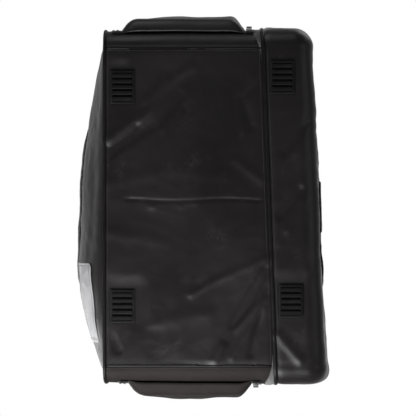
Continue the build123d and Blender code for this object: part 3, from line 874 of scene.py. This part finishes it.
@dataclass
class Shell:
    """The sewn panels of the bag, its welts and seam bindings."""

    form: BagForm
    shop: Workshop
    cell: float = 6 * MM
    wall: float = 2.2 * MM
    welt_width: float = 5.0 * MM
    welt_height: float = 3.6 * MM
    binding: float = 2.6 * MM
    opening_corner: float = 60 * MM
    pocket_corner: float = 62 * MM

    def build(self) -> None:
        """Makes the panels, welts, bindings and gussets."""
        self.base()
        self.front()
        self.back()
        self.top()
        for end in ENDS:
            self.end(end)
            self.gusset(end)
        self.welts()
        self.bindings()

    def panel(self, name: str, bm: bmesh.types.BMesh, finish: Finish = COATED) -> None:
        """Finishes a panel that stands for the CAD node of the same name."""
        self.shop.lined(name, bm, "bag", self.wall, finish)

    def base(self) -> None:
        """The base between the seams, rounded up at its ends."""
        form, bm = self.form, bmesh.new()
        reach = form.half_length - form.corner

        def place(s: float, t: float) -> Vector:
            x = between(-reach, reach, s)
            return form.on(Face.BASE, x, between(form.front_seam, form.seam_y(x), t))

        mapped_grid(bm, 210, 110, place)
        self.panel("base_panel", bm)

    def front(self) -> None:
        """The pillowed front panel."""
        form, bm = self.form, bmesh.new()

        def place(s: float, t: float) -> Vector:
            x = between(-form.half_length, form.half_length, s)
            return form.on(Face.FRONT, x, between(form.base_z, form.top_z, t))

        mapped_grid(bm, 150, 70, place)
        self.panel("front_panel", bm)

    def back(self) -> None:
        """The back panel, which wraps to both seams and round both ends."""
        form, bm = self.form, bmesh.new()
        size, deep, tall = form.half_length, 26, 64

        def lay(face: Face) -> Place:
            def place(s: float, t: float) -> Vector:
                x, z = between(-size, size, s), between(form.base_z, form.top_z, t)
                if face in (Face.BASE, Face.TOP):
                    return form.on(face, x, between(form.seam_y(x), form.back_y(x), t))
                if face is Face.BACK:
                    return form.on(face, x, z)
                x = size if face is Face.RIGHT else -size
                return form.on(face, between(form.seam_y(x), form.back_y(x), s), z)

            return place

        for face, across, along in (
            (Face.BASE, 150, deep), (Face.TOP, 150, deep), (Face.BACK, 150, tall),
            (Face.LEFT, deep, tall), (Face.RIGHT, deep, tall),
        ):
            mapped_grid(bm, across, along, lay(face))
        self.panel("back_panel", bm)

    def open_up(self, bm: bmesh.types.BMesh, low: Spot, high: Spot, corner: float) -> None:
        """Cuts a rounded opening in a panel that is still flat in its own coordinates."""
        gone = [
            f for f in bm.faces
            if inside(f.calc_center_median().x, f.calc_center_median().y, low, high, corner) > 0
        ]
        bmesh.ops.delete(bm, geom=gone, context="FACES")
        for vert in bm.verts:
            depth = inside(vert.co.x, vert.co.y, low, high, corner)
            if vert.is_boundary and abs(depth) < self.cell:
                step = 0.1 * MM
                slope = Vector(
                    (
                        inside(vert.co.x + step, vert.co.y, low, high, corner) - depth,
                        inside(vert.co.x, vert.co.y + step, low, high, corner) - depth,
                        0,
                    )
                ) / step
                vert.co -= slope * depth

    def top(self) -> None:
        """The top round the lid's opening."""
        form, bm = self.form, bmesh.new()
        low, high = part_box("lid_zip_tape")
        reach = form.half_length - 30 * MM

        def place(s: float, t: float) -> Vector:
            x = between(-reach, reach, s)
            return Vector((x, between(form.front_seam, form.seam_y(x), t), 0))

        mapped_grid(bm, 150, 78, place)
        self.open_up(bm, (low.x, low.y), (high.x, high.y), self.opening_corner)
        for vert in bm.verts:
            vert.co = form.on(Face.TOP, vert.co.x, vert.co.y)
        self.panel("top_panel", bm)

    def end(self, end: str) -> None:
        """An end panel round its skate pocket's opening."""
        form, bm = self.form, bmesh.new()
        side, face = ENDS[end], END_FACES[end]
        x = side * form.half_length
        tape_low, tape_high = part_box(f"pocket_zip_tape_{end}")
        low = (tape_low.y, tape_low.z + 3 * MM)
        high = (tape_high.y, tape_high.z)
        front, back = form.front_seam, form.seam_y(x)
        mapped_grid(
            bm, 66, 64,
            lambda s, t: Vector((between(front, back, s), between(form.base_z, form.top_z, t), 0)),
        )
        self.open_up(bm, low, high, self.pocket_corner)
        for vert in bm.verts:
            vert.co = form.on(face, vert.co.x, vert.co.y)
        for turned, depth, cells in (
            (Face.BASE, form.corner, 8), (Face.TOP, 30 * MM, 6),
        ):
            mapped_grid(
                bm, 66, cells,
                lambda s, t, turned=turned, depth=depth: form.on(
                    turned, x - side * depth * t,
                    between(front, between(back, form.seam_y(x - side * depth), t), s),
                ),
            )
        self.panel(f"end_panel_{end}", bm, BRUSHED if side < 0 else COATED)

    def loop(self, y_at: Callable[[float], float]) -> list[Vector]:
        """Points round a seam, outside the fabric, in even shares of the sharp outline."""
        form, count = self.form, 420
        length, height = 2 * form.half_length, form.top_z - form.base_z
        points = []
        for i in range(count):
            gone = (2 * length + 2 * height) * i / count
            if gone < length:
                x = gone - form.half_length
                points.append(form.on(Face.BASE, x, y_at(x)))
            elif gone < length + height:
                z = form.base_z + gone - length
                points.append(form.on(Face.RIGHT, y_at(form.half_length), z))
            elif gone < 2 * length + height:
                x = form.half_length - (gone - length - height)
                points.append(form.on(Face.TOP, x, y_at(x)))
            else:
                z = form.top_z - (gone - 2 * length - height)
                points.append(form.on(Face.LEFT, y_at(-form.half_length), z))
        return points

    def welts(self) -> None:
        """The piped welt round each long seam."""
        for row, y_at in zip(ROWS, (lambda x: self.form.front_seam, self.form.seam_y)):
            points, bm = self.loop(y_at), bmesh.new()
            count, wide = len(points), 12
            half = self.welt_width if row == "back" else 3.6 * MM

            def place(s: float, t: float) -> Vector:
                i = round(s * count) % count
                ahead = (points[(i + 1) % count] - points[i - 1]).normalized()
                out = ahead.cross(Vector((0, 1, 0))).normalized()
                if out.dot(points[i] - self.shop.middle) < 0:
                    out = -out
                turn = 2 * math.pi * round(t * wide) / wide
                rise = 1.2 * MM + self.welt_height * math.cos(turn)
                return points[i] + out * rise + Vector((0, half * math.sin(turn), 0))

            mapped_grid(bm, count, wide, place)
            name = f"piping_{row}"
            self.shop.piece(f"{name}_welt", bm, BINDING, "piping", "bag", (name,), closed=True)

    def bindings(self) -> None:
        """Taped end seams of the base, with stitches, and stitches beside the welts."""
        form, tapes, threads = self.form, bmesh.new(), bmesh.new()
        reach, pitch, inset = form.half_length - form.corner, 4.4 * MM, 3.2 * MM
        for side in ENDS.values():
            x = side * reach
            spots = [(x, form.front_seam + 3 * MM), (x, form.seam_y(x) - 4 * MM)]
            track = Track(form, Face.BASE, spots)
            track.ribbon(tapes, -self.binding, self.binding, 0.7 * MM, crown=0.9 * MM, cells=6)
            track.sew(threads, 0.3 * MM, (-5.2 * MM, 5.2 * MM), pitch)
        for shift, seam in ((8.5 * MM, lambda x: form.front_seam), (-9.5 * MM, form.seam_y),
                            (9.5 * MM, form.seam_y)):
            spots = [(x, seam(x) + shift) for x in (-reach, reach)]
            Track(form, Face.BASE, spots).sew(threads, 0.25 * MM, pitch=pitch)
        for row in ROWS:
            for end in ENDS:
                low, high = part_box(f"foot_{row}_{end}")
                line = box_line((low.x + inset, low.y + inset), (high.x - inset, high.y - inset))
                Track(form, Face.BASE, line).sew(threads, 2.1 * MM)
        self.shop.piece("base_seam_tapes", tapes, BINDING, "piping", "bag", wall=1.4 * MM)
        self.shop.threads("base_stitching", threads)

    def gusset(self, end: str) -> None:
        """The ribbed tape that fans out of the back seam round an end's lower corner."""
        form, bm = self.form, bmesh.new()
        side, face = ENDS[end], END_FACES[end]
        start, rise, spread = 68 * MM, 90 * MM, 21 * MM

        def place(s: float, t: float) -> Vector:
            gone = s * (start + rise)
            width = spread * smooth(s * 1.5) + 2 * MM
            rib = 0.5 * MM * abs(math.sin(gone / (1.25 * MM) * math.pi / 2))
            lift = 1.0 * MM + rib
            if gone <= start:
                x = side * (form.half_length - start + gone)
                return form.on(Face.BASE, x, form.seam_y(x) - 3 * MM - width * t, lift)
            x = side * form.half_length
            y = form.seam_y(x) - 3 * MM - width * t
            return form.on(face, y, form.base_z + gone - start, lift)

        mapped_grid(bm, 252, 10, place)
        self.shop.piece(f"end_gusset_{end}", bm, GUSSET, "zip_tape", "bag", wall=0.8 * MM)


@dataclass
class Zip:
    """A coil zip laid along a line: tape, teeth, hems and stitches."""

    form: BagForm
    shop: Workshop
    track: Track
    name: str
    outer: int = 1  # side of the line away from the opening
    tape_half: float = 11 * MM
    pitch: float = 1.25 * MM

    def build(self, tape_node: str, chain_node: str) -> None:
        """Makes the zip in place of its CAD tape and chain."""
        tape = bmesh.new()
        self.track.ribbon(tape, -self.tape_half, self.tape_half, 1.1 * MM, cells=8)
        self.shop.piece(
            f"{self.name}_tape_weave", tape, ZIP_TAPE, "zip_tape", "bag", (tape_node,), 1.0 * MM
        )
        teeth = bmesh.new()
        size = Vector((0.62 * MM, 2.1 * MM, 1.0 * MM))
        self.track.beads(teeth, self.pitch, size, 0, 1.9 * MM, stagger=0.75 * MM, lean=0.16)
        self.track.ribbon(teeth, -0.6 * MM, 0.6 * MM, 1.9 * MM, cells=2)
        self.shop.piece(
            f"{self.name}_coil", teeth, COIL, "zip_coil", "bag", (chain_node,), closed=True
        )
        hem, threads = bmesh.new(), bmesh.new()
        low, high = sorted((self.outer * 6.2 * MM, self.outer * 13.5 * MM))
        self.track.ribbon(hem, low, high, 1.5 * MM, crown=1.0 * MM, cells=6)
        self.track.sew(threads, 2.35 * MM, (self.outer * 8.2 * MM, self.outer * 11.6 * MM))
        self.shop.strip(f"{self.name}_hem", hem, "bag", 1.2 * MM)
        self.shop.threads(f"{self.name}_stitching", threads)


@dataclass
class Lid:
    """The zipped lid: a soft crowned panel with a sewn border, and its zip."""

    form: BagForm
    shop: Workshop
    crown: float = 45 * MM
    slope: float = 78 * MM
    corner: float = 36 * MM
    centre: float = 15 * MM
    hinge_gap: float = 4 * MM
    low: Spot = field(init=False)
    high: Spot = field(init=False)

    def rise(self, u: float, v: float) -> float:
        """Height of the lid over the top at a spot."""
        depth = max(0.0, inside(u, v, self.low, self.high, self.corner))
        share = min(1.0, depth / self.slope)
        puff = self.crown * (1 - (1 - share) ** 2.1)
        dip = 4 * MM * noise.noise(Vector((u * 7, v * 8, 3.0))) * share
        pinch = 2.2 * MM * abs(noise.noise(Vector((u * 24, v * 24, 8.0)))) * share
        return puff - 3.5 * MM * share + dip - pinch

    def build(self) -> None:
        """Makes the lid, its hinge strip and its zip."""
        form = self.form
        low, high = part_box("lid_panel")
        self.low, self.high = (low.x, low.y), (high.x, high.y)
        bm = bmesh.new()

        def place(s: float, t: float) -> Vector:
            u, v = between(low.x, high.x, s), between(low.y, high.y - self.hinge_gap, t)
            u, v = rounded(u, v, self.low, self.high, self.corner)
            return form.on(Face.TOP, u, v, 1.0 * MM + self.rise(u, v))

        mapped_grid(bm, 128, 64, place)
        lid = self.shop.lined("lid_panel", bm, "lid", 2.4 * MM)
        border = Track(
            form, Face.TOP, horseshoe(high.x - 5 * MM, low.y + 5 * MM, high.y - 7 * MM, 31 * MM),
            lambda u, v: 1.0 * MM + self.rise(u, v),
        )
        hem, threads = bmesh.new(), bmesh.new()
        border.ribbon(hem, -4.5 * MM, 4.5 * MM, 0.8 * MM, crown=0.8 * MM, cells=6)
        border.sew(threads, 1.5 * MM, (-2.6 * MM, 2.6 * MM))
        self.shop.strip("lid_border", hem, "lid")
        self.shop.threads("lid_stitching", threads, "lid")
        self.hinge(high)
        tape_low, tape_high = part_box("lid_zip_tape")
        line = horseshoe(
            tape_high.x - self.centre, tape_low.y + self.centre, tape_high.y, 45 * MM
        )
        lid_zip = Zip(form, self.shop, Track(form, Face.TOP, line), "lid_zip", outer=-1)
        lid_zip.build("lid_zip_tape", "lid_zip_chain")

    def hinge(self, high: Vector) -> None:
        """The strip of fabric that the lid folds on."""
        bm = bmesh.new()
        reach = high.x - 30 * MM
        fold = high.y + 0.25 * MM

        def place(s: float, t: float) -> Vector:
            u, v = between(-reach, reach, s), between(fold - 9 * MM, fold + 9 * MM, t)
            return self.form.on(Face.TOP, u, v, 2.0 * MM + self.rise(u, v))

        mapped_grid(bm, 110, 12, place)
        strip = self.shop.strip("lid_hinge_strip", bm, None)
        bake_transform(strip)


@dataclass
class SkatePocket:
    """An end pocket: crowned skirt and flap, zip, tabs and liner."""

    form: BagForm
    shop: Workshop
    end: str
    proud: float = 28 * MM
    slope: float = 40 * MM
    corner: float = 38 * MM
    centre: float = 15 * MM
    face: Face = field(init=False)
    foot: float = field(init=False)
    split: float = field(init=False)
    low: Spot = field(init=False)
    high: Spot = field(init=False)

    def rise(self, u: float, v: float) -> float:
        """Height of the pocket over the end panel at a spot."""
        depth = max(0.0, inside(u, v, self.low, self.high, self.corner))
        share = min(1.0, depth / self.slope)
        crown = 1 - (1 - share) ** 2.2
        foot = 1 - (1 - smooth((v - self.foot + 6 * MM) / (40 * MM))) ** 2
        dip = 2.4 * MM * noise.noise(Vector((u * 12, v * 11, 5.0 + len(self.end))))
        away = 1 - math.exp(-(((v - self.split) / (16 * MM)) ** 2))
        return self.proud * crown * foot + (dip * crown * foot + 1.0 * MM) * away

    def build(self) -> None:
        """Makes the pocket's pieces."""
        form, side = self.form, ENDS[self.end]
        self.face = END_FACES[self.end]
        flap_low, flap_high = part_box(f"pocket_flap_{self.end}")
        skirt_low, skirt_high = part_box(f"pocket_skirt_{self.end}")
        self.foot = skirt_low.z
        self.low = (flap_low.y, self.foot - 80 * MM)
        self.high = (flap_high.y, flap_high.z)
        split_low, split_high = skirt_high.z, flap_low.z
        self.split = (split_low + split_high) / 2
        self.cover("pocket_skirt", "bag", self.foot + 2 * MM, split_low, 10)
        flap = self.cover("pocket_flap", f"flap_{self.end}", split_low + 0.25 * MM, flap_high.z, 56)
        self.fold(self.split, side)
        tape_low, tape_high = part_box(f"pocket_zip_tape_{self.end}")
        middle = (tape_low.y + tape_high.y) / 2
        half = (tape_high.y - tape_low.y) / 2 - self.centre
        line = horseshoe(half, tape_high.z - self.centre, self.foot + 6 * MM, 47 * MM, middle)
        coil = Zip(form, self.shop, Track(form, self.face, line), f"pocket_zip_{self.end}")
        coil.build(f"pocket_zip_tape_{self.end}", f"pocket_zip_chain_{self.end}")
        self.border(middle, half)
        self.tabs(middle, half)
        self.liner()

    def cover(
        self, part: str, body: str, low_v: float, high_v: float, cells: int
    ) -> bpy.types.Object:
        """Skirt or flap, a share of the crowned cover."""
        bm = bmesh.new()

        def place(s: float, t: float) -> Vector:
            u, v = between(self.low[0], self.high[0], s), between(low_v, high_v, t)
            u, v = rounded(u, v, self.low, self.high, self.corner, foot=False)
            return self.form.on(self.face, u, v, self.rise(u, v))

        mapped_grid(bm, 64, cells, place)
        finish = BRUSHED if ENDS[self.end] < 0 else COATED
        return self.shop.lined(f"{part}_{self.end}", bm, body, 2.2 * MM, finish)

    def fold(self, split: float, side: int) -> None:
        """The strip that joins flap to skirt, riding on no body."""
        bm = bmesh.new()

        def place(s: float, t: float) -> Vector:
            u = between(self.low[0] + 9 * MM, self.high[0] - 9 * MM, s)
            v = between(split - 8 * MM, split + 8 * MM, t)
            return self.form.on(self.face, u, v, self.rise(u, v) + 0.9 * MM)

        mapped_grid(bm, 60, 12, place)
        strip = self.shop.strip(f"pocket_fold_{self.end}", bm, None)
        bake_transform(strip)

    def border(self, middle: float, half: float) -> None:
        """Stitched hem round the flap's free edges."""
        inset = self.centre - 8 * MM
        line = horseshoe(
            half - self.centre + 3 * MM, self.high[1] - inset + 2 * MM, 62 * MM, 30 * MM, middle
        )
        track = Track(self.form, self.face, line, self.rise)
        hem, threads = bmesh.new(), bmesh.new()
        track.ribbon(hem, -4.2 * MM, 4.2 * MM, 0.7 * MM, crown=0.7 * MM, cells=6)
        track.sew(threads, 1.3 * MM, (-2.4 * MM, 2.4 * MM))
        body = f"flap_{self.end}"
        self.shop.strip(f"pocket_border_{self.end}", hem, body)
        self.shop.threads(f"pocket_stitching_{self.end}", threads, body)

    def tabs(self, middle: float, half: float) -> None:
        """Sewn tabs over the zip's two lower ends."""
        bm = bmesh.new()
        for leg in (-half, half):
            low = Vector((middle + leg - 9 * MM, self.foot + 1 * MM, 1.6 * MM))
            high = Vector((middle + leg + 9 * MM, self.foot + 11 * MM, 4.4 * MM))
            pour(slab(self.form, self.face, low, high, 0.8 * MM), bm)
        node = f"zip_end_tabs_{self.end}"
        self.shop.piece(f"{node}_fabric", bm, BINDING, "zip_tape", "bag", (node,), closed=True)

    def liner(self) -> None:
        """The pocket's inner bag, open towards its zip."""
        node = f"pocket_liner_{self.end}"
        low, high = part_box(node)
        side, bm = ENDS[self.end], bmesh.new()
        bmesh.ops.create_cube(bm, size=1.0)
        mouth = [f for f in bm.faces if f.normal.x * side > 0.5]
        bmesh.ops.delete(bm, geom=mouth, context="FACES")
        margin = Vector((0, 9 * MM, 4 * MM))
        bmesh.ops.scale(bm, vec=high - low - 2 * margin, verts=bm.verts)
        sharp = [e for e in bm.edges if not e.is_boundary]
        bmesh.ops.bevel(
            bm, geom=sharp, offset=16 * MM, affect="EDGES", segments=4, profile=0.5, material=-1
        )
        bmesh.ops.subdivide_edges(bm, edges=bm.edges[:], cuts=7, use_grid_fill=True)
        for vert in bm.verts:
            point = vert.co + (low + high) / 2
            depth = abs(point.x - (high.x if side > 0 else low.x)) / (high.x - low.x)
            sag = 3 * MM * noise.noise(point * 16) * depth
            point.x = between(point.x, side * (self.form.half_length - 4 * MM), 1 - depth)
            point = self.form.settle(self.form.wrap(point))
            vert.co = point + Vector((side * 2 * sag, sag, sag))
        self.shop.piece(
            f"{node}_fabric", bm, LINING, "liner", "bag", (node,), 1.2 * MM, closed=True
        )


@dataclass
class Handle:
    """A webbing handle with its sewn patches, and a grip on the back one."""

    form: BagForm
    shop: Workshop
    row: str
    width: float = 22.5 * MM
    bend: float = 37.5 * MM
    gap: float = 1.8 * MM
    thick: float = 3.0 * MM

    def build(self) -> None:
        """Makes the webbing loop, its edge ribs, patches and stitches."""
        face = Face.FRONT if self.row == "front" else Face.BACK
        node = f"handle_{self.row}"
        low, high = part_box(node)
        half = (high.x - low.x) / 2 - self.width
        line = horseshoe(half, low.z + self.width, high.z, self.bend)
        track, bm = Track(self.form, face, line), bmesh.new()
        outer = self.gap + self.thick
        track.ribbon(bm, -self.width, self.width, outer, 4 * MM, crown=0.3 * MM, cells=12)
        for rib in (-18 * MM, -9 * MM, 0.0, 9 * MM, 18 * MM):
            track.ribbon(bm, rib - 1.5 * MM, rib + 1.5 * MM, outer + 0.1 * MM, 4 * MM, 0.5 * MM)
        self.shop.piece(
            f"{node}_webbing", bm, WEBBING, "webbing", f"{self.row}_handle", (node,), self.thick
        )
        self.patches(face, half)
        if self.row == "back":
            self.grip(face, low.z + self.width)

    def patches(self, face: Face, half: float) -> None:
        """The two anchor patches, sewn with a crossed box."""
        node = f"handle_patches_{self.row}"
        low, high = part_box(node)
        cloth, threads = bmesh.new(), bmesh.new()
        reach, inset = self.width + 8 * MM, 5 * MM
        for side in (-half, half):
            mapped_grid(
                cloth, 14, 9,
                lambda s, t, side=side: self.form.on(
                    face, between(side - reach, side + reach, s), between(low.z, high.z, t),
                    2.5 * MM - 1.2 * MM * max(abs(2 * s - 1), abs(2 * t - 1)) ** 6,
                ),
            )
            near = (side - reach + inset, low.z + inset)
            far = (side + reach - inset, high.z - inset)
            cross = [near, far]
            other = [(near[0], far[1]), (far[0], near[1])]
            for line in (box_line(near, far), cross, other):
                Track(self.form, face, line).sew(threads, 2.6 * MM, size=HEAVY_STITCH)
        self.shop.piece(f"{node}_sewn", cloth, WEBBING, "webbing", "bag", (node,), 1.6 * MM)
        self.shop.threads(f"{node}_stitching", threads)

    def grip(self, face: Face, middle: float) -> None:
        """The padded grip folded round the webbing."""
        low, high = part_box("handle_grip")
        length = (high.x - low.x) / 2
        tall = (high.z - low.z) / 2
        bm = slab(
            self.form, face, Vector((-length, middle - tall, 0.6 * MM)),
            Vector((length, middle + tall, 8.2 * MM)), 3.2 * MM, cuts=5,
        )
        self.shop.piece(
            "handle_grip_pad", bm, COATED, "grip", "back_handle", ("handle_grip",), closed=True
        )
        threads, inset = bmesh.new(), 6 * MM
        line = box_line(
            (-length + inset, middle - tall + inset), (length - inset, middle + tall - inset)
        )
        Track(self.form, face, line).sew(threads, 8.3 * MM, size=HEAVY_STITCH)
        self.shop.threads("handle_grip_stitching", threads, "back_handle")


@dataclass
class NamePanel:
    """The blank silver panel sewn on the front."""

    form: BagForm
    shop: Workshop
    corner: float = 14 * MM
    lift: float = 1.6 * MM

    def build(self) -> None:
        """Makes the panel and its stitched rim."""
        low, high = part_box("name_panel")
        near, far = (low.x, low.z), (high.x, high.z)
        bm = bmesh.new()

        def place(s: float, t: float) -> Vector:
            u, v = between(low.x, high.x, s), between(low.z, high.z, t)
            u, v = rounded(u, v, near, far, self.corner)
            rim = 0.6 * MM * math.exp(-((inside(u, v, near, far, self.corner) / (3 * MM)) ** 2))
            return self.form.on(Face.FRONT, u, v, self.lift + rim)

        mapped_grid(bm, 60, 42, place)
        self.shop.piece(
            "name_panel_plate", bm, SILVER, "name_panel", "bag", ("name_panel",), 1.3 * MM
        )
        threads, inset = bmesh.new(), 5 * MM
        line = box_line((low.x + inset, low.z + inset), (high.x - inset, high.z - inset))
        line = [rounded(u, v, near, far, self.corner) for u, v in line]
        Track(self.form, Face.FRONT, line).sew(threads, 2.0 * MM)
        self.shop.threads("name_panel_stitching", threads)


@dataclass
class BaseBoards:
    """The folding stiffener in the base: its two boards keep their CAD shape."""

    shop: Workshop

    def build(self) -> None:
        """Makes the hinge tape that joins the boards."""
        low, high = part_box("board_hinge_tape")
        bm = bmesh.new()
        mapped_grid(
            bm, 14, 60,
            lambda s, t: Vector(
                (
                    between(low.x, high.x, s),
                    between(low.y, high.y, t),
                    high.z + 0.15 * MM * math.sin(t * 140),
                )
            ),
        )
        tape = self.shop.piece(
            "board_hinge_tape_weave", bm, WEBBING, "tape", None, ("board_hinge_tape",), 0.7 * MM
        )
        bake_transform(tape)


@dataclass
class Hardware:
    """CAD nodes that keep their shape: feet, boards, sliders and pulls."""

    nodes: dict[str, bpy.types.Object]

    def build(self) -> None:
        """Gives each kept node its finish."""
        zips = ("lid_slider_", "lid_pull_", "pocket_slider_", "pocket_pull_")
        kinds = {("foot_",): RUBBER, ("base_board_",): BOARD, zips: METAL}
        for name, obj in self.nodes.items():
            for starts, finish in kinds.items():
                if name.startswith(starts):
                    obj.data.materials.clear()
                    obj.data.materials.append(finish.build())
                    LOG.info("%s: dressed", name)


LAMPS = (  # name, place, size in metres and power in watts
    ("key_below", (-1.25, -0.45, -1.0), 0.9, 200),
    ("rim_top", (2.3, -0.4, -0.75), 1.0, 46),
    ("fill_below", (0.2, 2.3, -1.3), 1.2, 22),
    ("rim_side", (-0.3, -2.6, -0.3), 1.2, 8),
    ("key_above", (-1.6, -2.0, 2.6), 1.8, 85),
    ("fill_above", (2.4, 1.8, 1.8), 2.0, 55),
)


@dataclass
class Studio:
    """Floor, lights and camera."""

    form: BagForm
    distance: float = 8.0
    view_width: float = 0.976
    aim: Spot = (-0.0023, 0.0190)

    def build(self) -> None:
        """Sets the stage."""
        self.world()
        self.floor()
        self.camera()
        for lamp in LAMPS:
            self.lamp(*lamp)
        bpy.context.scene.view_settings.view_transform = "Standard"

    def world(self) -> None:
        """White to what looks at it, and a plain soft light to the rest."""
        world = bpy.data.worlds.new("studio")
        world.use_nodes = True
        nodes = Nodes(world.node_tree)
        path = nodes.add("LightPath")
        seen = nodes.math("MAXIMUM", path.outputs["Is Camera Ray"], path.outputs["Is Glossy Ray"])
        seen = nodes.math("MAXIMUM", seen, path.outputs["Is Transmission Ray"])
        strength = nodes.math("ADD", nodes.math("MULTIPLY", seen, 0.55), 0.45)
        sky = nodes.add("Background")
        sky.inputs["Color"].default_value = (1, 1, 1, 1)
        nodes.join(strength, sky.inputs["Strength"])
        nodes.join(sky.outputs[0], nodes.add("OutputWorld").inputs["Surface"])
        bpy.context.scene.world = world

    def floor(self) -> None:
        """A pale floor that is seen from above only."""
        bm = bmesh.new()
        bmesh.ops.create_grid(bm, x_segments=1, y_segments=1, size=12.0)
        mesh = bpy.data.meshes.new("studio_floor")
        bm.to_mesh(mesh)
        bm.free()
        material = bpy.data.materials.new("studio_floor")
        material.use_nodes = True
        nodes = Nodes(material.node_tree)
        shader = nodes.add("BsdfPrincipled", Roughness=0.9)
        shader.inputs["Base Color"].default_value = (0.82, 0.82, 0.82, 1)
        shader.inputs["Emission Color"].default_value = (1, 1, 1, 1)
        shader.inputs["Emission Strength"].default_value = 0.34
        clear = nodes.add("BsdfTransparent")
        side = nodes.add("NewGeometry")
        mix = nodes.add("MixShader")
        nodes.join(side.outputs["Backfacing"], mix.inputs[0])
        nodes.join(shader.outputs[0], mix.inputs[1])
        nodes.join(clear.outputs[0], mix.inputs[2])
        nodes.join(mix.outputs[0], nodes.add("OutputMaterial").inputs["Surface"])
        mesh.materials.append(material)
        floor = bpy.data.objects.new("studio_floor", mesh)
        bpy.context.scene.collection.objects.link(floor)
        floor.visible_diffuse = floor.visible_glossy = False
        floor.visible_transmission = floor.visible_shadow = False

    def lamp(self, name: str, place: tuple[float, float, float], size: float, power: float) -> None:
        """Adds a soft square lamp that faces the bag."""
        light = bpy.data.lights.new(name, "AREA")
        light.shape, light.size, light.energy = "SQUARE", size, power
        lamp = bpy.data.objects.new(name, light)
        lamp.location = place
        way = Vector((0, 0, self.form.mid_z)) - Vector(place)
        lamp.rotation_mode = "QUATERNION"
        lamp.rotation_quaternion = way.to_track_quat("-Z", "Y")
        bpy.context.scene.collection.objects.link(lamp)

    def camera(self) -> None:
        """Looks straight at the base, with the bag's right end up."""
        data = bpy.data.cameras.new("camera")
        data.lens = data.sensor_width * (self.distance + self.form.base_z) / self.view_width
        data.clip_end = 60
        camera = bpy.data.objects.new("camera", data)
        turn = Matrix(((0, 1, 0), (1, 0, 0), (0, 0, -1))).to_4x4()
        camera.matrix_world = Matrix.Translation((*self.aim, -self.distance)) @ turn
        bpy.context.scene.collection.objects.link(camera)
        bpy.context.scene.camera = camera


def main() -> None:
    """Builds the bag round its frame and sets the stage."""
    logging.basicConfig(level=logging.INFO, format="%(name)s %(message)s")
    form = BagForm.from_frame()
    shop = Workshop(form)
    Studio(form).build()
    Shell(form, shop).build()
    Lid(form, shop).build()
    for end in ENDS:
        SkatePocket(form, shop, end).build()
    for row in ROWS:
        Handle(form, shop, row).build()
    NamePanel(form, shop).build()
    BaseBoards(shop).build()
    Hardware(frame["nodes"]).build()


if __name__ == "__main__":
    main()
